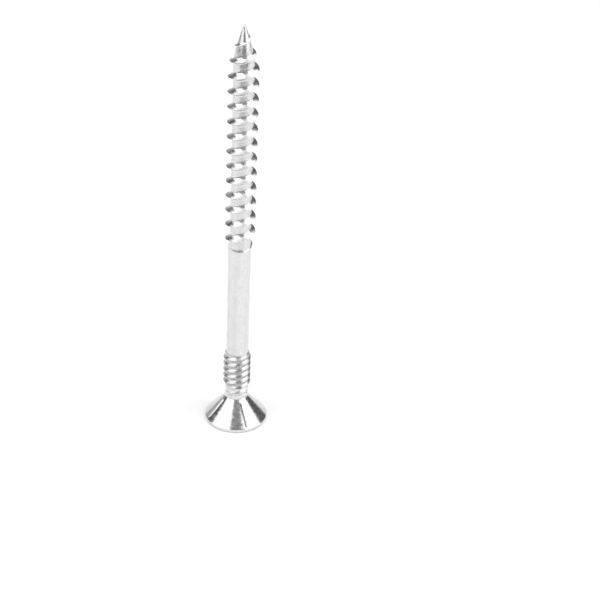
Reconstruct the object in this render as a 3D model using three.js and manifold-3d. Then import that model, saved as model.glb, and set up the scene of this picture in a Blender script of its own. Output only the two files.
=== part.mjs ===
// A countersunk wood screw, 5 x 70 mm, standing on its head with the point up.
// Millimetres, +Z up. The origin is the centre of the flat face of the head.
// The screw is one forged and thread-rolled piece of stainless wire, so it is one mesh.

import * as THREE from 'three';
import * as BufferGeometryUtils from 'three/addons/utils/BufferGeometryUtils.js';
import Module from 'manifold-3d';

const wasm = await Module();
wasm.setup();

// Overall sizes
const LENGTH = 70;
const HEAD_RADIUS = 5;
const SHANK_RADIUS = 1.8;

// Head: flat face, thin upright rim, cone down to the neck
const FACE_EDGE_WIDTH = 0.17;
const FACE_EDGE_HEIGHT = 0.32;
const RIM_HEIGHT = 0.62;
const CONE_HALF_ANGLE = THREE.MathUtils.degToRad(41);
const NECK_RADIUS = 1.75;
const NECK_BLEND_RADIUS = 1.96;
const NECK_BLEND_HEIGHT = 0.45;
const NECK_TUCK = 0.1;
const HEAD_SIDES = 64;

// Six-lobe drive recess in the face
const LOBE_TIP_RADIUS = 2.24;
const LOBE_WAIST_RADIUS = 1.6;
const LOBE_ROUND = 0.39;
const LOBES = 6;
const LOBE_ARC_STEPS = 5;
const RECESS_DEPTH = 2.6;
const RECESS_FLOOR_ANGLE = THREE.MathUtils.degToRad(20);

// Cutting ribs on the cone
const RIBS = 4;
const FIRST_RIB_ANGLE = THREE.MathUtils.degToRad(22.5);
const RIB_WIDTH = 0.24;
const RIB_HEIGHT = 0.14;
const RIB_INNER_RADIUS = 2.25;
const RIB_OUTER_RADIUS = 4.8;
const RIB_ROOT_DEPTH = 0.4;

// Both threads are right-handed and share one number of columns round the axis
const COLUMNS = 36;

// Main thread, from the end of the plain shank to the point
const PITCH = 2.52;
const STEP = PITCH / COLUMNS;
const CREST_RADIUS = 2.375;
const CORE_RADIUS = 1.575;
const CREST_HALF_WIDTH = 0.5 * STEP;
const LOWER_FLANK_WIDTH = 5 * STEP;
const UPPER_FLANK_WIDTH = 10 * STEP;
const HOLLOW_SHARE = 0.33;
const TIP_RADIUS = 0.12;
const POINT_START = 63.9;
const POINT_CURVE = 1.5;
const CREST_TAPER_START = 63;
const CREST_TAPER_CURVE = 1.35;
const THREAD_START = 32.35;
const THREAD_FULL = 34;
const CREST_AT_ANGLE_ZERO = LENGTH - 533.5 * STEP;

// Under-head thread: two starts, low and rounded, a little steeper above the crest than below it
const UPPER_STARTS = 2;
const UPPER_SPACING = 1.12;
const UPPER_ROOT_RADIUS = 1.91;
const UPPER_CREST_HEIGHT = 0.3;
const UPPER_FADED_HEIGHT = 0.16;
const UPPER_TOP_SIDE = 0.45 * UPPER_SPACING;
const UPPER_BOTTOM_SIDE = UPPER_SPACING - UPPER_TOP_SIDE;
const UPPER_ROUND_PLACE = 0.4;
const UPPER_ROUND_SHARE = 0.65;
const UPPER_BOTTOM = 4.5;
const UPPER_FADED_TOP = 6.3;
const UPPER_FULL = 6.9;
const UPPER_END = 12.3;
const UPPER_TOP = 12.9;
const UPPER_CREST_AT_ANGLE_ZERO = 11.69;

// Shoulder where the plain shank steps down to the thread core
const SHOULDER_FLARE = 0.06;
const FLARE_START = 31.4;
const SHOULDER_TOP = 32.23;
const SHOULDER_HEIGHT = 0.32;
const RUN_IN_CORE = 1.79;
const RUN_IN_END = 35.5;

const OVERLAP = 0.6;
const FULL_TURN = 2 * Math.PI;

// ---- small helpers ----

function mix(a, b, t) {
  return a + (b - a) * t;
}

// 0 below "from", 1 above "to", straight in between
function ramp(value, from, to) {
  return THREE.MathUtils.clamp((value - from) / (to - from), 0, 1);
}

// Drops triangles that have lost an edge after the vertices were merged
function withoutFlatTriangles(geometry) {
  const index = geometry.getIndex().array;
  const kept = [];
  for (let t = 0; t < index.length; t += 3) {
    const [a, b, c] = [index[t], index[t + 1], index[t + 2]];
    if (a !== b && b !== c && c !== a) kept.push(a, b, c);
  }
  geometry.setIndex(kept);
  return geometry;
}

function toSolid(geometry) {
  const bare = geometry.clone();
  bare.deleteAttribute('normal');
  bare.deleteAttribute('uv');
  const merged = withoutFlatTriangles(BufferGeometryUtils.mergeVertices(bare, 1e-4));
  const vertProperties = new Float32Array(merged.getAttribute('position').array);
  const triVerts = new Uint32Array(merged.getIndex().array);
  return new wasm.Manifold(new wasm.Mesh({ numProp: 3, vertProperties, triVerts }));
}

function toGeometry(solid) {
  const mesh = solid.getMesh();
  const geometry = new THREE.BufferGeometry();
  geometry.setAttribute('position', new THREE.BufferAttribute(new Float32Array(mesh.vertProperties), 3));
  geometry.setIndex(new THREE.BufferAttribute(new Uint32Array(mesh.triVerts), 1));
  geometry.computeVertexNormals();
  return geometry;
}

// A turned solid about +Z from (radius, height) points that run upwards
function turned(points, sides) {
  const geometry = new THREE.LatheGeometry(points, sides);
  geometry.rotateX(Math.PI / 2);
  return toSolid(geometry);
}

// ---- threads ----

// A closed tube about +Z whose rows of vertices follow the helix, so that each crest is a clean edge.
// "rows" gives, within one spacing, the offset of each row from the crest and its share of the full height.
function threadedTube({ bottom, top, spacing, starts, crestAtZero, rows, core, height }) {
  const lead = spacing * starts;
  const firstTurn = Math.floor((bottom - lead - crestAtZero) / spacing) - 1;
  const lastTurn = Math.ceil((top - crestAtZero) / spacing) + 1;
  const lines = [];
  for (let turn = firstTurn; turn <= lastTurn; turn += 1) {
    for (const row of rows) {
      lines.push({ start: crestAtZero + turn * spacing + row.offset, share: row.share });
    }
  }
  const positions = [];
  for (const line of lines) {
    for (let column = 0; column <= COLUMNS; column += 1) {
      const z = THREE.MathUtils.clamp(line.start + (lead * column) / COLUMNS, bottom, top);
      const radius = core(z) + line.share * height(z);
      const angle = (FULL_TURN * (column % COLUMNS)) / COLUMNS;
      positions.push(radius * Math.cos(angle), radius * Math.sin(angle), z);
    }
  }
  const width = COLUMNS + 1;
  const index = [];
  for (let line = 0; line + 1 < lines.length; line += 1) {
    for (let column = 0; column < COLUMNS; column += 1) {
      const a = line * width + column;
      const b = a + 1;
      const c = b + width;
      const d = a + width;
      index.push(a, b, c, a, c, d);
    }
  }
  const lowCentre = positions.length / 3;
  positions.push(0, 0, bottom, 0, 0, top);
  const lastLine = (lines.length - 1) * width;
  for (let column = 0; column < COLUMNS; column += 1) {
    index.push(lowCentre, column + 1, column);
    index.push(lowCentre + 1, lastLine + column, lastLine + column + 1);
  }
  const geometry = new THREE.BufferGeometry();
  geometry.setAttribute('position', new THREE.Float32BufferAttribute(positions, 3));
  geometry.setIndex(index);
  return toSolid(geometry);
}

// A slight taper at the run-in, then straight, then drawn to the point
function mainCoreRadius(z) {
  const core = mix(RUN_IN_CORE, CORE_RADIUS, ramp(z, SHOULDER_TOP, RUN_IN_END));
  return mix(core, TIP_RADIUS, Math.pow(ramp(z, POINT_START, LENGTH), POINT_CURVE));
}

function mainRidgeHeight(z) {
  const drawnIn = Math.pow(ramp(z, CREST_TAPER_START, LENGTH), CREST_TAPER_CURVE);
  const envelope = mix(CREST_RADIUS, TIP_RADIUS, drawnIn);
  return (envelope - mainCoreRadius(z)) * ramp(z, THREAD_START, THREAD_FULL);
}

// The core and the sharp single-start thread, up to the point; the flank towards the point is hollow
function mainThread() {
  const crest = CREST_HALF_WIDTH;
  return threadedTube({
    bottom: CREST_AT_ANGLE_ZERO - 22.5 * STEP,
    top: LENGTH,
    spacing: PITCH,
    starts: 1,
    crestAtZero: CREST_AT_ANGLE_ZERO,
    rows: [
      { offset: -crest - LOWER_FLANK_WIDTH, share: 0 },
      { offset: -crest, share: 1 },
      { offset: crest, share: 1 },
      { offset: crest + UPPER_FLANK_WIDTH / 2, share: HOLLOW_SHARE },
      { offset: crest + UPPER_FLANK_WIDTH, share: 0 },
    ],
    core: mainCoreRadius,
    height: mainRidgeHeight,
  });
}

function upperCoreRadius(z) {
  const risen = mix(NECK_RADIUS, UPPER_ROOT_RADIUS, ramp(z, UPPER_FADED_TOP, UPPER_FULL));
  return mix(risen, SHANK_RADIUS - SHOULDER_FLARE, ramp(z, UPPER_END, UPPER_TOP));
}

function upperRidgeHeight(z) {
  const faded = UPPER_FADED_HEIGHT * ramp(z, UPPER_BOTTOM, UPPER_BOTTOM + UPPER_SPACING / 2);
  const grown = mix(faded, UPPER_CREST_HEIGHT, ramp(z, UPPER_FADED_TOP, UPPER_FULL));
  return grown * (1 - ramp(z, UPPER_END, UPPER_TOP));
}

// The low two-start thread just under the head: round crests and grooves
function upperThread() {
  return threadedTube({
    bottom: UPPER_BOTTOM - OVERLAP,
    top: UPPER_TOP,
    spacing: UPPER_SPACING,
    starts: UPPER_STARTS,
    crestAtZero: UPPER_CREST_AT_ANGLE_ZERO,
    rows: [
      { offset: -UPPER_BOTTOM_SIDE, share: 0 },
      { offset: -UPPER_BOTTOM_SIDE * UPPER_ROUND_PLACE, share: UPPER_ROUND_SHARE },
      { offset: 0, share: 1 },
      { offset: UPPER_TOP_SIDE * UPPER_ROUND_PLACE, share: UPPER_ROUND_SHARE },
    ],
    core: upperCoreRadius,
    height: upperRidgeHeight,
  });
}

// ---- head and shank ----

// The plain shank, from inside the head to the shoulder above which the main thread begins
function shank() {
  return turned([
    new THREE.Vector2(0, UPPER_BOTTOM),
    new THREE.Vector2(SHANK_RADIUS - SHOULDER_FLARE * 2, UPPER_BOTTOM),
    new THREE.Vector2(SHANK_RADIUS - SHOULDER_FLARE * 2, UPPER_END),
    new THREE.Vector2(SHANK_RADIUS, UPPER_END + OVERLAP / 2),
    new THREE.Vector2(SHANK_RADIUS, FLARE_START),
    new THREE.Vector2(SHANK_RADIUS + SHOULDER_FLARE, SHOULDER_TOP),
    new THREE.Vector2(CORE_RADIUS, SHOULDER_TOP + SHOULDER_HEIGHT),
    new THREE.Vector2(0, SHOULDER_TOP + SHOULDER_HEIGHT),
  ], COLUMNS);
}

// Height on the cone at a given radius
function coneHeight(radius) {
  return RIM_HEIGHT + (HEAD_RADIUS - radius) / Math.tan(CONE_HALF_ANGLE);
}

// The flat face, the rim and the cone, which steepens at the neck and ends inside the core of the thread
function head() {
  const blendBottom = coneHeight(NECK_BLEND_RADIUS);
  const neckInside = NECK_RADIUS - NECK_TUCK;
  return turned([
    new THREE.Vector2(0, 0),
    new THREE.Vector2(HEAD_RADIUS - FACE_EDGE_WIDTH, 0),
    new THREE.Vector2(HEAD_RADIUS, FACE_EDGE_HEIGHT),
    new THREE.Vector2(HEAD_RADIUS, RIM_HEIGHT),
    new THREE.Vector2(NECK_BLEND_RADIUS, blendBottom),
    new THREE.Vector2(neckInside, blendBottom + NECK_BLEND_HEIGHT),
    new THREE.Vector2(neckInside, UPPER_BOTTOM + OVERLAP),
    new THREE.Vector2(0, UPPER_BOTTOM + OVERLAP),
  ], HEAD_SIDES);
}

// A thin rib on the cone that mills the wood away under the head
function rib(angle) {
  const lift = RIB_HEIGHT / Math.sin(CONE_HALF_ANGLE);
  const outline = new THREE.Shape([
    new THREE.Vector2(RIB_INNER_RADIUS, coneHeight(RIB_INNER_RADIUS) - RIB_ROOT_DEPTH),
    new THREE.Vector2(RIB_OUTER_RADIUS, coneHeight(RIB_OUTER_RADIUS) - RIB_ROOT_DEPTH),
    new THREE.Vector2(RIB_OUTER_RADIUS, coneHeight(RIB_OUTER_RADIUS) + lift / 2),
    new THREE.Vector2(RIB_OUTER_RADIUS - RIB_WIDTH, coneHeight(RIB_OUTER_RADIUS - RIB_WIDTH) + lift),
    new THREE.Vector2(RIB_INNER_RADIUS, coneHeight(RIB_INNER_RADIUS) + lift),
  ]);
  const geometry = new THREE.ExtrudeGeometry(outline, { depth: RIB_WIDTH, bevelEnabled: false });
  geometry.translate(0, 0, -RIB_WIDTH / 2);
  geometry.rotateX(Math.PI / 2);
  geometry.rotateZ(angle);
  return toSolid(geometry);
}

// ---- drive recess ----

// Six round lobes joined by six hollow flutes, every arc tangent to the next
function lobeOutline() {
  const spacing = FULL_TURN / LOBES;
  const lobeCentre = LOBE_TIP_RADIUS - LOBE_ROUND;
  const cosine = Math.cos(spacing / 2);
  const fluteTop = lobeCentre ** 2 + LOBE_WAIST_RADIUS ** 2 - 2 * lobeCentre * LOBE_WAIST_RADIUS * cosine
    - LOBE_ROUND ** 2;
  const fluteRound = fluteTop / (2 * (LOBE_ROUND - LOBE_WAIST_RADIUS + lobeCentre * cosine));
  const fluteCentre = LOBE_WAIST_RADIUS + fluteRound;
  const across = fluteCentre * Math.sin(spacing / 2);
  const along = fluteCentre * cosine - lobeCentre;
  const tangentAngle = Math.atan2(across, along);
  const fluteSweep = tangentAngle - spacing / 2;
  const shape = new THREE.Shape();
  for (let lobe = 0; lobe < LOBES; lobe += 1) {
    const at = lobe * spacing;
    const x = lobeCentre * Math.cos(at);
    const y = lobeCentre * Math.sin(at);
    shape.absarc(x, y, LOBE_ROUND, at - tangentAngle, at + tangentAngle, false);
    const middle = at + spacing / 2;
    const fluteX = fluteCentre * Math.cos(middle);
    const fluteY = fluteCentre * Math.sin(middle);
    const back = middle + Math.PI;
    shape.absarc(fluteX, fluteY, fluteRound, back + fluteSweep, back - fluteSweep, true);
  }
  return shape;
}

function recess() {
  const depth = OVERLAP + RECESS_DEPTH + LOBE_TIP_RADIUS;
  const prism = new THREE.ExtrudeGeometry(lobeOutline(), {
    depth,
    bevelEnabled: false,
    curveSegments: LOBE_ARC_STEPS,
  });
  prism.translate(0, 0, -OVERLAP);
  const reach = LOBE_TIP_RADIUS + OVERLAP;
  const drill = turned([
    new THREE.Vector2(0, -2 * OVERLAP),
    new THREE.Vector2(reach, -2 * OVERLAP),
    new THREE.Vector2(reach, RECESS_DEPTH - reach * Math.tan(RECESS_FLOOR_ANGLE)),
    new THREE.Vector2(0, RECESS_DEPTH),
  ], 2 * LOBES);
  return toSolid(prism).intersect(drill);
}

// ---- assembly ----

function screwMesh() {
  let solid = head().add(upperThread()).add(shank()).add(mainThread());
  for (let k = 0; k < RIBS; k += 1) {
    solid = solid.add(rib(FIRST_RIB_ANGLE + (k * FULL_TURN) / RIBS));
  }
  solid = solid.subtract(recess());
  const steel = new THREE.MeshStandardMaterial({ color: 0xd4d5d6, roughness: 0.22, metalness: 1 });
  const mesh = new THREE.Mesh(toGeometry(solid), steel);
  mesh.name = 'screw';
  return mesh;
}

const group = new THREE.Group();
group.add(screwMesh());

export default group;
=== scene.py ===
"""A countersunk stainless wood screw standing on its head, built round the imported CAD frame.

Sizes are in metres. The overall length and head width come from the frame; the finer
sizes are written in millimetres times MM.
"""

import math

import bpy
from mathutils import Matrix, Vector


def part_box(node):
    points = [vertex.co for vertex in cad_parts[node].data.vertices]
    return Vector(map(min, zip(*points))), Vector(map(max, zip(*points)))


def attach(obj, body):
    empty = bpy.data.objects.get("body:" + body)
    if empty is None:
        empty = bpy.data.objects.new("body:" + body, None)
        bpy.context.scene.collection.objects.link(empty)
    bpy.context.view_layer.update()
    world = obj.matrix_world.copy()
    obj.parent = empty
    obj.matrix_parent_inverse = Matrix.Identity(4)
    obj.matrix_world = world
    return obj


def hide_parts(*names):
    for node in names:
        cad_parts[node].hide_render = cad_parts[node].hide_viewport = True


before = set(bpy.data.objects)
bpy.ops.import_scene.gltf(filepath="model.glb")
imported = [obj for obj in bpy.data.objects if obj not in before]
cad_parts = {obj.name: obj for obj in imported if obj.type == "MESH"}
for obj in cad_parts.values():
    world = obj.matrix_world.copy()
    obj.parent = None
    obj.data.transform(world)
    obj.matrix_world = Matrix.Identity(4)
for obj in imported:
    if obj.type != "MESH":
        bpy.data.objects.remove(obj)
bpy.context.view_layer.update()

MM = 0.001
MICRON = 0.001 * MM
TAU = 2 * math.pi
NODE = "screw"

# ---- head, rim and cone ----

box_low, box_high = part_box(NODE)
LENGTH = box_high.z - box_low.z
HEAD_RADIUS = (box_high.x - box_low.x) / 2

FACE_EDGE_WIDTH = 0.17 * MM
FACE_EDGE_HEIGHT = 0.32 * MM
FACE_EDGE_SHARPNESS = 0.5
FACE_RADIUS = HEAD_RADIUS - FACE_EDGE_WIDTH
CONE_HALF_ANGLE = math.radians(41)
RIM_HEIGHT = 0.62 * MM
RIM_EDGE_ROUND = 0.1 * MM
RIM_ROUND_TURN = math.pi / 2 - CONE_HALF_ANGLE
RIM_TOP = RIM_HEIGHT - RIM_EDGE_ROUND * math.tan(RIM_ROUND_TURN / 2)
NECK_RADIUS = 1.75 * MM
NECK_FILLET = 0.15 * MM

# ---- six-lobe recess ----

LOBES = 6
LOBE_TIP_RADIUS = 2.24 * MM
LOBE_WAIST_RADIUS = 1.6 * MM
LOBE_ROUND = 0.39 * MM
RECESS_DEPTH = 2.6 * MM
RECESS_BEVEL = 0.07 * MM
RECESS_DRAFT = math.radians(2)
RECESS_FLOOR_ANGLE = math.radians(20)

# ---- ribs on the cone ----

RIBS = 4
FIRST_RIB_ANGLE = math.radians(23)
RIB_HALF_WIDTH = 0.24 * MM
RIB_HEIGHT = 0.085 * MM
RIB_ROUNDING = 0.12
RIB_INNER_RADIUS = 2.15 * MM
RIB_OUTER_RADIUS = 4.75 * MM
RIB_END_SLOPE = 0.12 * MM

# ---- thread under the head ----

UPPER_STARTS = 2
UPPER_SPACING = 1.12 * MM
UPPER_LEAD = UPPER_SPACING * UPPER_STARTS
UPPER_CREST_AT_ANGLE_ZERO = 11.69 * MM
UPPER_ROOT_RADIUS = 1.91 * MM
UPPER_CREST_HEIGHT = 0.3 * MM
UPPER_FADED_HEIGHT = 0.16 * MM
UPPER_TOP_SIDE = 0.45
UPPER_LINES = 4
UPPER_LINE_SHARE = 0.06
UPPER_BOTTOM = 4.5 * MM
UPPER_FADED_TOP = 6.3 * MM
UPPER_FULL = 6.9 * MM
UPPER_END = 12.3 * MM
UPPER_TOP = 12.9 * MM

# ---- plain shank and shoulder ----

SHANK_RADIUS = 1.8 * MM
SHOULDER_FLARE = 0.06 * MM
FLARE_START = 31.4 * MM
SHOULDER_TOP = 32.23 * MM
SHOULDER_HEIGHT = 0.32 * MM
RUN_IN_CORE = 1.79 * MM
RUN_IN_END = 35.5 * MM

# ---- main thread and point ----

PITCH = 2.52 * MM
CREST_RADIUS = 2.36 * MM
CORE_RADIUS = 1.575 * MM
CREST_HALF_WIDTH = 0.03 * MM
UPPER_FLANK_WIDTH = 0.82 * MM
LOWER_FLANK_WIDTH = 0.55 * MM
FLANK_HOLLOW = 2
THREAD_SMALLEST = 0.2
CREST_AT_ANGLE_ZERO = 32.655 * MM
THREAD_START = 32 * MM
THREAD_FULL = 34 * MM
CREST_TAPER_START = 63 * MM
CREST_TAPER_CURVE = 1.35
POINT_START = 63.9 * MM
POINT_CURVE = 1.5
TIP_RADIUS = 0.12 * MM
TIP_START = LENGTH - 0.1 * MM

# ---- mesh resolution ----

COLUMNS = 96
RIB_COLUMN_REACH = math.radians(4.5)
RIB_COLUMN_STEP = math.radians(0.75)
RECESS_FLOOR_STEPS = 10
RECESS_WALL_STEPS = 8
RECESS_BEVEL_STEPS = 4
FACE_STEPS = 10
FACE_EDGE_STEPS = 8
RIM_STEPS = 3
RIM_ROUND_STEPS = 5
TIP_STEPS = 6
CONE_ROW = 0.1 * MM
SHANK_ROW = 1 * MM
FINE_ROW = 0.04 * MM
FLARE_ROW = 2 * FINE_ROW
NECK_TOP = UPPER_BOTTOM + 2 * FINE_ROW
RUN_IN_ROWS_TOP = 34.5 * MM
UPPER_ROWS = 24
FLANK_ROWS = 7
FLANK_ROW_SHARE = 0.05
FLANK_ROW_GROWTH = 0.0175
GROOVE_ROW_SHARES = (-0.42, -0.32, 0.4, 0.5)
SHARP_ANGLE = math.radians(32)
PLACES_PER_METRE = 1e8

# ---- finish ----

STEEL_TONE = 0.695
LINE_SHADE = 0.015
LINE_DULLING = (0.7, 1.4)
PITS_PER_MILLIMETRE = 4
PIT_DULLING = (0.9, 1.9)
BLOTCHES_PER_MILLIMETRE = 0.9
BLOTCH_SHADE = 0.02
FINE_DETAIL = 4
BLOTCH_DETAIL = 3
NOISE_LOW = 0.3
NOISE_HIGH = 0.7

# ---- studio and camera ----

FLOOR_REACH = 0.4
FLOOR_FRONT = 0.11
FLOOR_COLOUR = (0.95, 0.95, 0.95, 1)
FLOOR_ROUGHNESS = 0.6
FLOOR_GLOSS = 0.2
ROOM_COLOUR = (0.11, 0.11, 0.11, 1)
BACKGROUND_COLOUR = (1.05, 1.05, 1.05, 1)
OVERHEAD_HEIGHT = 0.7
OVERHEAD_BACK = 0.1
OVERHEAD_DEPTH = 1.0
OVERHEAD_GAP = 0.09
OVERHEAD_LEFT_END = 0.63
OVERHEAD_RIGHT_END = 0.77
CAMERA_LENS = 125.6
CAMERA_SENSOR = 36
CAMERA_PLACE = (0, -279.66 * MM, 199.66 * MM)
CAMERA_AIM = (9.73 * MM, 0, 22.65 * MM)
CAMERA_ROLL = math.radians(2.379)
CAMERA_NEAREST = 0.01
CAMERA_FARTHEST = 10


# ---- small helpers ----


def mix(a, b, t):
    return a + (b - a) * t


def ramp(value, start, end):
    """0 below start, 1 above end, straight in between."""
    return min(1.0, max(0.0, (value - start) / (end - start)))


def smooth_ramp(value, start, end):
    t = ramp(value, start, end)
    return t * t * (3 - 2 * t)


def smooth_max(a, b, width):
    """The larger of a and b, with a fillet of the given width where they cross."""
    h = min(1.0, max(0.0, 0.5 + 0.5 * (a - b) / width))
    return mix(b, a, h) + width * h * (1 - h)


def smooth_min(a, b, width):
    return -smooth_max(-a, -b, width)


def spaced(start, end, step):
    """Evenly spaced values from start to end, both included, about step apart."""
    count = max(1, round((end - start) / step))
    return [mix(start, end, k / count) for k in range(count + 1)]


# ---- the side of the screw as a radius at each angle and height ----


def cone_height(radius):
    return RIM_HEIGHT + (HEAD_RADIUS - radius) / math.tan(CONE_HALF_ANGLE)


def cone_radius(z):
    return HEAD_RADIUS - (z - RIM_HEIGHT) * math.tan(CONE_HALF_ANGLE)


def rib_lift(angle, radius):
    """How far the cutting ribs stand out of the cone."""
    if not RIB_INNER_RADIUS - RIB_END_SLOPE < radius < RIB_OUTER_RADIUS + RIB_END_SLOPE:
        return 0.0
    spacing = TAU / RIBS
    turn = (angle - FIRST_RIB_ANGLE + spacing / 2) % spacing - spacing / 2
    across = abs(turn) * radius
    slope = smooth_max(1 - across / RIB_HALF_WIDTH, 0, RIB_ROUNDING)
    side = smooth_min(slope, 1, RIB_ROUNDING)
    inner_foot = RIB_INNER_RADIUS - RIB_END_SLOPE
    outer_foot = RIB_OUTER_RADIUS + RIB_END_SLOPE
    inner = smooth_ramp(radius, inner_foot, RIB_INNER_RADIUS + RIB_END_SLOPE)
    outer = 1 - smooth_ramp(radius, RIB_OUTER_RADIUS - RIB_END_SLOPE, outer_foot)
    return RIB_HEIGHT * side * inner * outer


def upper_core(z):
    """Root of the under-head thread: the neck, a rise to full size, then down to the shank."""
    rise = mix(NECK_RADIUS, UPPER_ROOT_RADIUS, smooth_ramp(z, UPPER_FADED_TOP, UPPER_FULL))
    return mix(rise, SHANK_RADIUS, ramp(z, UPPER_END, UPPER_TOP))


def upper_height(z):
    """Height of the under-head thread over its root: faded near the head, then full."""
    faded = UPPER_FADED_HEIGHT * ramp(z, UPPER_BOTTOM, UPPER_BOTTOM + UPPER_SPACING / 2)
    grown = mix(faded, UPPER_CREST_HEIGHT, smooth_ramp(z, UPPER_FADED_TOP, UPPER_FULL))
    return grown * (1 - ramp(z, UPPER_END, UPPER_TOP))


def upper_share(angle, z):
    """Share of the under-head thread's height: round crests with fine rolled lines."""
    turns = (z - UPPER_CREST_AT_ANGLE_ZERO - UPPER_LEAD * angle / TAU) / UPPER_SPACING
    place = turns - math.floor(turns + 1 - UPPER_TOP_SIDE)
    side = UPPER_TOP_SIDE if place > 0 else 1 - UPPER_TOP_SIDE
    ridge = 0.5 + 0.5 * math.cos(math.pi * place / side)
    return ridge + UPPER_LINE_SHARE * math.cos(UPPER_LINES * TAU * place)


def main_core(z):
    """The core: a short drop from the shank, a slight taper, straight, then drawn to the point."""
    if z < RUN_IN_END:
        drop = ramp(z, SHOULDER_TOP, SHOULDER_TOP + SHOULDER_HEIGHT)
        taper = mix(RUN_IN_CORE, CORE_RADIUS, ramp(z, SHOULDER_TOP, RUN_IN_END))
        return mix(SHANK_RADIUS + SHOULDER_FLARE, taper, drop)
    return mix(CORE_RADIUS, TIP_RADIUS, ramp(z, POINT_START, LENGTH) ** POINT_CURVE)


def main_envelope(z):
    """Radius of the main thread's crest where the thread is fully grown."""
    taper = ramp(z, CREST_TAPER_START, LENGTH) ** CREST_TAPER_CURVE
    return mix(CREST_RADIUS, TIP_RADIUS, taper)


def crest_offset(angle, z):
    """Distance along the axis from the nearest crest of the main thread."""
    turns = (z - CREST_AT_ANGLE_ZERO) / PITCH - angle / TAU
    return (turns - round(turns)) * PITCH


def main_share(offset, size):
    """Share of the main thread's height: a narrow crest between hollow flanks."""
    width = UPPER_FLANK_WIDTH if offset > 0 else LOWER_FLANK_WIDTH
    down = ramp(abs(offset), CREST_HALF_WIDTH, CREST_HALF_WIDTH + width * size)
    return (1 - down) ** FLANK_HOLLOW


def main_thread(angle, z):
    """Core and thread. A lower thread is narrower too, so that its slopes stay the same."""
    core = main_core(z)
    offset = crest_offset(angle, z)
    grown = ramp(z - offset, THREAD_START, THREAD_FULL)
    height = (main_envelope(z) - core) * grown
    size = max(THREAD_SMALLEST, min(1, height / (CREST_RADIUS - CORE_RADIUS)))
    return core + main_share(offset, size) * height


def side_radius(angle, z):
    """Radius of everything above the rim."""
    if z < UPPER_BOTTOM + UPPER_SPACING:
        cone = cone_radius(z)
        cone += rib_lift(angle, cone)
        body = smooth_max(cone, upper_core(z), NECK_FILLET)
        return body + upper_share(angle, z) * upper_height(z)
    if z < UPPER_TOP:
        return upper_core(z) + upper_share(angle, z) * upper_height(z)
    if z < SHOULDER_TOP:
        return SHANK_RADIUS + SHOULDER_FLARE * smooth_ramp(z, FLARE_START, SHOULDER_TOP)
    return main_thread(angle, z)


# ---- points of the recess, face, rim and tip: radius and height at an angle and a share ----


def lobe_radius(angle):
    """Outline of the six-lobe recess: round lobes joined by hollow flutes, all tangent."""
    spacing = TAU / LOBES
    centre = LOBE_TIP_RADIUS - LOBE_ROUND
    cosine = math.cos(spacing / 2)
    squares = centre**2 + LOBE_WAIST_RADIUS**2 - LOBE_ROUND**2
    above = squares - 2 * centre * LOBE_WAIST_RADIUS * cosine
    flute_round = above / (2 * (LOBE_ROUND - LOBE_WAIST_RADIUS + centre * cosine))
    flute_centre = LOBE_WAIST_RADIUS + flute_round
    across = flute_centre * math.sin(spacing / 2)
    along = flute_centre * cosine - centre
    tangent = math.atan2(across, along)
    touch = math.atan2(LOBE_ROUND * math.sin(tangent), centre + LOBE_ROUND * math.cos(tangent))
    turn = abs((angle + spacing / 2) % spacing - spacing / 2)
    if turn < touch:
        lobe_side = centre * math.sin(turn)
        return centre * math.cos(turn) + math.sqrt(LOBE_ROUND**2 - lobe_side**2)
    rest = spacing / 2 - turn
    flute_side = flute_centre * math.sin(rest)
    return flute_centre * math.cos(rest) - math.sqrt(flute_round**2 - flute_side**2)


def recess_foot(angle):
    """Radius of the recess wall at its foot, less than at its mouth by the draft."""
    return lobe_radius(angle) - RECESS_DEPTH * math.tan(RECESS_DRAFT)


def recess_floor_height(radius):
    """The floor is a shallow cone, deepest in the middle."""
    return RECESS_DEPTH - radius * math.tan(RECESS_FLOOR_ANGLE)


def recess_floor_point(angle, share):
    radius = recess_foot(angle) * share
    return radius, recess_floor_height(radius)


def recess_wall_point(angle, share):
    foot = recess_foot(angle)
    height = mix(recess_floor_height(foot), RECESS_BEVEL, share)
    return mix(foot, lobe_radius(angle), share), height


def recess_bevel_point(angle, share):
    """The small round at the mouth of the recess."""
    turn = share * math.pi / 2
    radius = lobe_radius(angle) + RECESS_BEVEL * (1 - math.cos(turn))
    return radius, RECESS_BEVEL * (1 - math.sin(turn))


def face_point(angle, share):
    return mix(lobe_radius(angle) + RECESS_BEVEL, FACE_RADIUS, share), 0.0


def face_edge_point(angle, share):
    """The broken edge between the face and the rim, shaped between a bevel and a round."""
    straight = (1 - FACE_EDGE_SHARPNESS) * share
    round_out = straight + FACE_EDGE_SHARPNESS * (1 - (1 - share) ** 2)
    round_up = straight + FACE_EDGE_SHARPNESS * share**2
    return FACE_RADIUS + FACE_EDGE_WIDTH * round_out, FACE_EDGE_HEIGHT * round_up


def rim_point(angle, share):
    return HEAD_RADIUS, mix(FACE_EDGE_HEIGHT, RIM_TOP, share)


def rim_round_point(angle, share):
    """The rim's upper edge; it turns a little past the cone, and the next row is on it."""
    turn = RIM_ROUND_TURN * share
    radius = HEAD_RADIUS - RIM_EDGE_ROUND * (1 - math.cos(turn))
    return radius, RIM_TOP + RIM_EDGE_ROUND * math.sin(turn)


def tip_point(angle, share):
    """The blunted end of the point."""
    turn = share * math.pi / 2
    radius = side_radius(angle, TIP_START) * math.cos(turn)
    return radius, mix(TIP_START, LENGTH, math.sin(turn))


# ---- columns and rows of the surface ----


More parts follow.
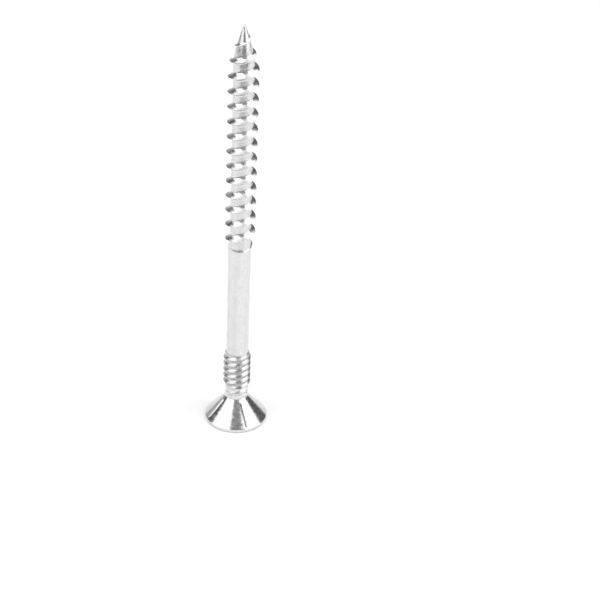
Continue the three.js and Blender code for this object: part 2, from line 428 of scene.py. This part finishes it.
def column_angles():
    """Even columns round the axis, with closer ones across each rib."""
    ribs = [FIRST_RIB_ANGLE + k * TAU / RIBS for k in range(RIBS)]
    angles = []
    for k in range(COLUMNS):
        angle = k * TAU / COLUMNS
        if all(abs(angle - rib) > RIB_COLUMN_REACH for rib in ribs):
            angles.append(angle)
    for rib in ribs:
        angles += spaced(rib - RIB_COLUMN_REACH, rib + RIB_COLUMN_REACH, RIB_COLUMN_STEP)
    return sorted(angles)


def stepped_rows(point, count):
    """Rows at even shares of a band, without the one at its start."""
    return [lambda angle, share=k / count: point(angle, share) for k in range(1, count + 1)]


def level_row(z):
    """A level row of the side surface."""
    return lambda angle: (side_radius(angle, z), z)


def level_rows(start, end, step):
    """Level rows of the side surface up to end, without the one at start."""
    return [level_row(z) for z in spaced(start, end, step)[1:]]


def helix_row(base, lead, start, end):
    """A row of the side surface that climbs from base by lead a turn, held between two heights."""
    def helix_point(angle):
        z = min(end, max(start, base + lead * angle / TAU))
        return side_radius(angle % TAU, z), z
    return helix_point


def helix_rows(start, end, lead, crest_at_zero, spacing, offsets):
    """Rows that follow a thread's helix, at the offsets from each of its crests."""
    first = math.floor((start - lead - crest_at_zero) / spacing) - 1
    last = math.ceil((end - crest_at_zero) / spacing) + 1
    rows = []
    for turn in range(first, last + 1):
        for offset in offsets:
            rows.append(helix_row(crest_at_zero + turn * spacing + offset, lead, start, end))
    return rows


def main_offsets():
    """Row places within one pitch, close together on the crest and at the flanks' tops."""
    shares = [FLANK_ROW_SHARE * k + FLANK_ROW_GROWTH * k**2 for k in range(FLANK_ROWS)]
    above = [CREST_HALF_WIDTH + UPPER_FLANK_WIDTH * share for share in shares]
    below = [-CREST_HALF_WIDTH - LOWER_FLANK_WIDTH * share for share in shares]
    groove = [PITCH * share for share in GROOVE_ROW_SHARES]
    return sorted(below + [0] + above + groove)


def upper_offsets():
    """Even row places within one spacing, from one groove to the next."""
    return [UPPER_SPACING * (UPPER_TOP_SIDE - 1 + k / UPPER_ROWS) for k in range(UPPER_ROWS)]


# ---- building the mesh ----


class Skin:
    """Joins rows of points into one closed mesh; points that coincide become one vertex."""

    def __init__(self, angles):
        self.angles = angles
        self.points = []
        self.faces = []
        self.zones = []
        self.known = {}

    def vertex(self, x, y, z):
        key = tuple(round(value * PLACES_PER_METRE) for value in (x, y, z))
        if key not in self.known:
            self.known[key] = len(self.points)
            self.points.append((x, y, z))
        return self.known[key]

    def row(self, place, closed_angle=False):
        """Vertices of one row; with closed_angle it ends one full turn on, for helix rows."""
        angles = self.angles + ([TAU] if closed_angle else [])
        line = []
        for angle in angles:
            radius, z = place(angle)
            turned = 0.0 if angle == TAU else angle
            line.append(self.vertex(radius * math.cos(turned), radius * math.sin(turned), z))
        if not closed_angle:
            line.append(line[0])
        return line

    def face(self, corners, zone):
        """A face of the corners that differ, or none if fewer than three do."""
        kept = []
        for corner in corners:
            if corner not in kept:
                kept.append(corner)
        if len(kept) > 2:
            self.faces.append(kept)
            self.zones.append(zone)

    def band(self, low, high, zone):
        for k in range(len(low) - 1):
            self.face((low[k], low[k + 1], high[k + 1], high[k]), zone)

    def rows(self, places, zone, below=None, closed_angle=False):
        """Adds rows that run upwards or outwards from the row below; returns the last one."""
        for place in places:
            line = self.row(place, closed_angle)
            if below is not None:
                self.band(below, line, zone)
            below = line
        return below

    def fan(self, line, tip, zone, upwards):
        """Closes a row with triangles to one point."""
        centre = self.vertex(*tip)
        for k in range(len(line) - 1):
            pair = (line[k], line[k + 1]) if upwards else (line[k + 1], line[k])
            self.face((pair[0], pair[1], centre), zone)


def add_recess(skin, zone):
    """The recess, from the middle of its floor to the face."""
    rows = stepped_rows(recess_floor_point, RECESS_FLOOR_STEPS)
    rows += stepped_rows(recess_wall_point, RECESS_WALL_STEPS)
    rows += stepped_rows(recess_bevel_point, RECESS_BEVEL_STEPS)
    line = skin.rows(rows, zone)
    skin.fan(skin.row(rows[0]), (0, 0, RECESS_DEPTH), zone, upwards=False)
    return line


def add_face(skin, zone, below):
    """The flat face and its broken edge."""
    rows = stepped_rows(face_point, FACE_STEPS)
    rows += stepped_rows(face_edge_point, FACE_EDGE_STEPS)
    return skin.rows(rows, zone, below)


def add_cone(skin, zone, below):
    """The rim, the cone with its ribs, and the blend to the neck."""
    cone_start = cone_height(HEAD_RADIUS - RIM_EDGE_ROUND)
    blend_start = cone_height(NECK_RADIUS + NECK_FILLET)
    rows = stepped_rows(rim_point, RIM_STEPS)
    rows += stepped_rows(rim_round_point, RIM_ROUND_STEPS)
    rows.append(level_row(cone_start))
    rows += level_rows(cone_start, blend_start, CONE_ROW)
    rows += level_rows(blend_start, NECK_TOP, FINE_ROW)
    skin.rows(rows, zone, below)


def add_upper_thread(skin, zone):
    """The under-head thread; its lowest rows are held on the neck's last ring."""
    rows = helix_rows(
        NECK_TOP, UPPER_TOP, UPPER_LEAD, UPPER_CREST_AT_ANGLE_ZERO, UPPER_SPACING, upper_offsets(),
    )
    skin.rows(rows, zone, closed_angle=True)


def add_shank(skin, zone):
    """The plain shank, flared a little at its upper end."""
    rows = level_rows(UPPER_TOP, FLARE_START, SHANK_ROW)
    rows += level_rows(FLARE_START, SHOULDER_TOP, FLARE_ROW)
    return skin.rows(rows, zone, skin.row(level_row(UPPER_TOP)))


def add_main_thread(skin, zone, below):
    """The shoulder, the main thread and the blunted point."""
    skin.rows(level_rows(SHOULDER_TOP, RUN_IN_ROWS_TOP, FINE_ROW), zone, below)
    rows = helix_rows(
        RUN_IN_ROWS_TOP, TIP_START, PITCH, CREST_AT_ANGLE_ZERO, PITCH, main_offsets(),
    )
    skin.rows(rows, zone, closed_angle=True)
    cap_rows = stepped_rows(tip_point, TIP_STEPS)[:-1]
    line = skin.rows(cap_rows, zone, skin.row(level_row(TIP_START)))
    skin.fan(line, (0, 0, LENGTH), zone, upwards=True)


def build_screw(materials):
    """One closed skin, with one material for each zone."""
    recess, face, cone, upper_thread, shank, thread = range(len(materials))
    skin = Skin(column_angles())
    line = add_recess(skin, recess)
    line = add_face(skin, face, line)
    add_cone(skin, cone, line)
    add_upper_thread(skin, upper_thread)
    line = add_shank(skin, shank)
    add_main_thread(skin, thread, line)

    mesh = bpy.data.meshes.new("screw_skin")
    mesh.from_pydata(skin.points, [], skin.faces)
    for material in materials:
        mesh.materials.append(material)
    mesh.polygons.foreach_set("material_index", skin.zones)
    mesh.polygons.foreach_set("use_smooth", [True] * len(skin.faces))
    mesh.set_sharp_from_angle(angle=SHARP_ANGLE)
    mesh.validate()
    piece = bpy.data.objects.new("screw_body", mesh)
    bpy.context.collection.objects.link(piece)
    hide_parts(NODE)
    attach(piece, "root")


# ---- materials ----


class Nodes:
    """A material's node tree with short calls for the nodes that the steels share."""

    def __init__(self, name):
        self.material = bpy.data.materials.new(name)
        self.material.use_nodes = True
        self.tree = self.material.node_tree
        self.shader = self.tree.nodes["Principled BSDF"]

    def join(self, source, socket):
        """Links a source socket, or sets a plain value."""
        if isinstance(source, bpy.types.NodeSocket):
            self.tree.links.new(source, socket)
        else:
            socket.default_value = source

    def number(self, operation, a, b):
        node = self.tree.nodes.new("ShaderNodeMath")
        node.operation = operation
        self.join(a, node.inputs[0])
        self.join(b, node.inputs[1])
        return node.outputs[0]

    def vector(self, operation, a, b):
        node = self.tree.nodes.new("ShaderNodeVectorMath")
        node.operation = operation
        self.join(a, node.inputs[0])
        self.join(b, node.inputs[1])
        return node.outputs["Value" if operation == "DOT_PRODUCT" else "Vector"]

    def length(self, source):
        node = self.tree.nodes.new("ShaderNodeVectorMath")
        node.operation = "LENGTH"
        self.join(source, node.inputs[0])
        return node.outputs["Value"]

    def upright(self, height):
        """A vector along the axis."""
        node = self.tree.nodes.new("ShaderNodeCombineXYZ")
        self.join(height, node.inputs["Z"])
        return node.outputs["Vector"]

    def noise(self, place, scale, detail):
        node = self.tree.nodes.new("ShaderNodeTexNoise")
        self.join(place, node.inputs["Vector"])
        node.inputs["Scale"].default_value = scale
        node.inputs["Detail"].default_value = detail
        return node.outputs["Fac"]

    def spread(self, value, low, high, from_low=NOISE_LOW, from_high=NOISE_HIGH):
        """Stretches a value, by default a noise, over low to high."""
        node = self.tree.nodes.new("ShaderNodeMapRange")
        self.join(value, node.inputs["Value"])
        node.inputs["From Min"].default_value = from_low
        node.inputs["From Max"].default_value = from_high
        node.inputs["To Min"].default_value = low
        node.inputs["To Max"].default_value = high
        return node.outputs["Result"]

    def grey(self, value):
        node = self.tree.nodes.new("ShaderNodeCombineColor")
        for channel in range(3):
            self.join(value, node.inputs[channel])
        return node.outputs["Color"]

    def bump(self, height, depth, before=None):
        """Adds relief of the given depth in metres."""
        node = self.tree.nodes.new("ShaderNodeBump")
        node.inputs["Strength"].default_value = 1
        node.inputs["Distance"].default_value = depth
        self.join(height, node.inputs["Height"])
        if before is not None:
            self.join(before, node.inputs["Normal"])
        return node.outputs["Normal"]


def steel(
    name, roughness, around, along, outward, line_depth, pit_depth,
    tone=STEEL_TONE, painted_neck_tone=STEEL_TONE, line_shade=LINE_SHADE,
    pits_per_millimetre=PITS_PER_MILLIMETRE,
):
    """Bright stainless steel with fine working marks.

    around, along and outward are how often the marks change per millimetre round the axis,
    along it and away from it: a low number makes long marks that way. tone is how bright the
    steel is made, and on the under-head thread its darker value is painted shade.
    painted_neck_tone is the same below the full part of the under-head thread, where its lighter
    value on that thread is painted light. line_shade is how much lighter or darker the marks are.
    """
    nodes = Nodes(name)
    place = nodes.tree.nodes.new("ShaderNodeTexCoord").outputs["Object"]
    millimetres = nodes.vector("MULTIPLY", place, (1 / MM, 1 / MM, 1 / MM))
    across = nodes.vector("MULTIPLY", millimetres, (1, 1, 0))
    radius = nodes.length(across)
    height = nodes.vector("DOT_PRODUCT", millimetres, (0, 0, 1))
    ringwise = nodes.vector("MULTIPLY", across, (around, around, 0))
    upwards = nodes.number("MULTIPLY", height, along)
    rise = nodes.number("ADD", upwards, nodes.number("MULTIPLY", radius, outward))
    grain_place = nodes.vector("ADD", ringwise, nodes.upright(rise))

    lines = nodes.noise(grain_place, 1, FINE_DETAIL)
    pits = nodes.noise(millimetres, pits_per_millimetre, FINE_DETAIL)
    blotches = nodes.noise(millimetres, BLOTCHES_PER_MILLIMETRE, BLOTCH_DETAIL)
    normal = nodes.bump(lines, line_depth)
    normal = nodes.bump(pits, pit_depth, normal)

    # painted light: the tone runs from painted_neck_tone below the full under-head thread to tone
    # above it; on the under-head thread these are a lighter painted light near the head and a
    # darker painted shade
    metal_and_painted_light = nodes.spread(height, painted_neck_tone, tone, UPPER_FADED_TOP / MM, UPPER_FULL / MM)
    blotches_and_painted_light = nodes.number("ADD", metal_and_painted_light, nodes.spread(blotches, -BLOTCH_SHADE, BLOTCH_SHADE))
    shade = nodes.number("ADD", blotches_and_painted_light, nodes.spread(lines, -line_shade, line_shade))
    pit_dulling = nodes.spread(pits, *PIT_DULLING)
    dulling = nodes.number("MULTIPLY", pit_dulling, nodes.spread(lines, *LINE_DULLING))
    shader = nodes.shader
    nodes.join(nodes.grey(shade), shader.inputs["Base Color"])
    nodes.join(nodes.number("MULTIPLY", dulling, roughness), shader.inputs["Roughness"])
    nodes.join(normal, shader.inputs["Normal"])
    shader.inputs["Metallic"].default_value = 1
    return nodes.material


def recess_steel():
    """Punched walls and floor, without one direction of marks."""
    return steel(
        "steel_recess", roughness=0.28, around=1.5, along=2, outward=2,
        line_depth=6 * MICRON, pit_depth=4 * MICRON,
    )


def face_steel():
    """A turned look: long marks round the axis."""
    return steel(
        "steel_face", roughness=0.3, around=0.5, along=0, outward=9,
        line_depth=4 * MICRON, pit_depth=4 * MICRON,
    )


def cone_steel():
    """Smooth, with light and dark marks that run round the axis."""
    return steel(
        "steel_cone", roughness=0.12, around=1.5, along=8, outward=0,
        line_depth=7 * MICRON, pit_depth=8 * MICRON, line_shade=0.12,
    )


def upper_thread_steel():
    """Rolled; the darker tone is painted shade, and the lighter tone on the faded ridges near the
    head is painted light.
    """
    return steel(
        "steel_upper_thread", roughness=0.2, around=1, along=5, outward=3,
        line_depth=15 * MICRON, pit_depth=8 * MICRON,
        # 0.55 is painted shade on the full ridges, 0.75 is painted light on the faded ridges near
        # the head
        tone=0.55, painted_neck_tone=0.75, line_shade=0.04,
    )


def shank_steel():
    """Drawn wire: very long marks along the axis."""
    return steel(
        "steel_shank", roughness=0.16, around=1.4, along=0.02, outward=0,
        line_depth=4 * MICRON, pit_depth=1 * MICRON,
        tone=0.7, line_shade=0.06, pits_per_millimetre=1.2,
    )


def thread_steel():
    """Rolled: long marks round the axis."""
    return steel(
        "steel_thread", roughness=0.19, around=0.5, along=6, outward=4,
        line_depth=9 * MICRON, pit_depth=1.5 * MICRON,
    )


def floor_material():
    material = bpy.data.materials.new("pale_floor")
    material.use_nodes = True
    shader = material.node_tree.nodes["Principled BSDF"]
    shader.inputs["Base Color"].default_value = FLOOR_COLOUR
    shader.inputs["Roughness"].default_value = FLOOR_ROUGHNESS
    shader.inputs["Specular IOR Level"].default_value = FLOOR_GLOSS
    return material


# ---- stage, light and camera ----


def floor():
    """A pale floor, short in front of the screw, so that the steel reflects the dim room there."""
    mesh = bpy.data.meshes.new("floor")
    front = [(-FLOOR_REACH, -FLOOR_FRONT, 0), (FLOOR_REACH, -FLOOR_FRONT, 0)]
    back = [(FLOOR_REACH, FLOOR_REACH, 0), (-FLOOR_REACH, FLOOR_REACH, 0)]
    mesh.from_pydata(front + back, [], [(0, 1, 2, 3)])
    mesh.materials.append(floor_material())
    piece = bpy.data.objects.new("floor", mesh)
    bpy.context.collection.objects.link(piece)


def room():
    """A background that is white to the camera and dim to everything else."""
    world = bpy.data.worlds.new("studio")
    bpy.context.scene.world = world
    world.use_nodes = True
    nodes = world.node_tree.nodes
    links = world.node_tree.links
    path = nodes.new("ShaderNodeLightPath")
    shade = nodes.new("ShaderNodeMix")
    shade.data_type = "RGBA"
    shade.inputs["A"].default_value = ROOM_COLOUR
    shade.inputs["B"].default_value = BACKGROUND_COLOUR
    links.new(path.outputs["Is Camera Ray"], shade.inputs["Factor"])
    links.new(shade.outputs["Result"], nodes["Background"].inputs["Color"])


def softbox(name, place, facing, width, height, radiance):
    """An even area light, hidden from the camera; facing points from the screw to it."""
    light = bpy.data.lights.new(name, "AREA")
    light.shape = "RECTANGLE"
    light.size = width
    light.size_y = height
    light.energy = radiance * math.pi * width * height
    piece = bpy.data.objects.new(name, light)
    piece.location = place
    piece.rotation_euler = Vector(facing).to_track_quat("Z", "Y").to_euler()
    piece.visible_camera = False
    bpy.context.collection.objects.link(piece)


def overhead_softbox(name, left, right, radiance):
    """A level panel above the screw, from left to right."""
    place = ((left + right) / 2, OVERHEAD_BACK, OVERHEAD_HEIGHT)
    softbox(name, place, (0, 0, 1), right - left, OVERHEAD_DEPTH, radiance)


def standing_softbox(name, azimuth, spread, distance, low, high, radiance):
    """An upright panel between two elevations, spread degrees wide round azimuth.

    Azimuth is 0 towards the camera and 90 to its right.
    """
    turn = math.radians(azimuth)
    facing = (math.sin(turn), -math.cos(turn), 0)
    bottom = distance * math.tan(math.radians(low))
    top = distance * math.tan(math.radians(high))
    width = 2 * distance * math.tan(math.radians(spread) / 2)
    place = Vector(facing) * distance + Vector((0, 0, (bottom + top) / 2))
    softbox(name, place, facing, width, top - bottom, radiance)


def lights():
    """Overhead and side softboxes, a dimmer strip in between, and weak light front and back."""
    overhead_softbox("overhead_left_softbox", -OVERHEAD_LEFT_END, -OVERHEAD_GAP, 1.5)
    overhead_softbox("overhead_right_softbox", OVERHEAD_GAP, OVERHEAD_RIGHT_END, 1.5)
    overhead_softbox("overhead_middle_fill", -OVERHEAD_GAP, OVERHEAD_GAP, 0.85)
    standing_softbox(
        "right_softbox", azimuth=64.5, spread=67, distance=0.45, low=2, high=60, radiance=1.6,
    )
    standing_softbox(
        "left_softbox", azimuth=-58, spread=71, distance=0.45, low=9, high=60, radiance=1.6,
    )
    standing_softbox(
        "front_fill", azimuth=4, spread=52, distance=0.5, low=-25, high=58, radiance=0.21,
    )
    standing_softbox(
        "left_back_horizon", azimuth=-146, spread=66, distance=0.45, low=-3, high=20,
        radiance=0.36,
    )


def camera():
    """A long lens that looks down at the standing screw."""
    data = bpy.data.cameras.new("camera")
    data.sensor_width = CAMERA_SENSOR
    data.lens = CAMERA_LENS
    data.clip_start = CAMERA_NEAREST
    data.clip_end = CAMERA_FARTHEST
    piece = bpy.data.objects.new("camera", data)
    view = (Vector(CAMERA_AIM) - Vector(CAMERA_PLACE)).to_track_quat("-Z", "Y").to_matrix()
    piece.location = CAMERA_PLACE
    piece.rotation_euler = (view @ Matrix.Rotation(CAMERA_ROLL, 3, "Z")).to_euler()
    bpy.context.collection.objects.link(piece)
    bpy.context.scene.camera = piece


steels = [
    recess_steel(), face_steel(), cone_steel(),
    upper_thread_steel(), shank_steel(), thread_steel(),
]
camera()
room()
lights()
floor()
build_screw(steels)
bpy.context.scene.view_settings.view_transform = "Standard"
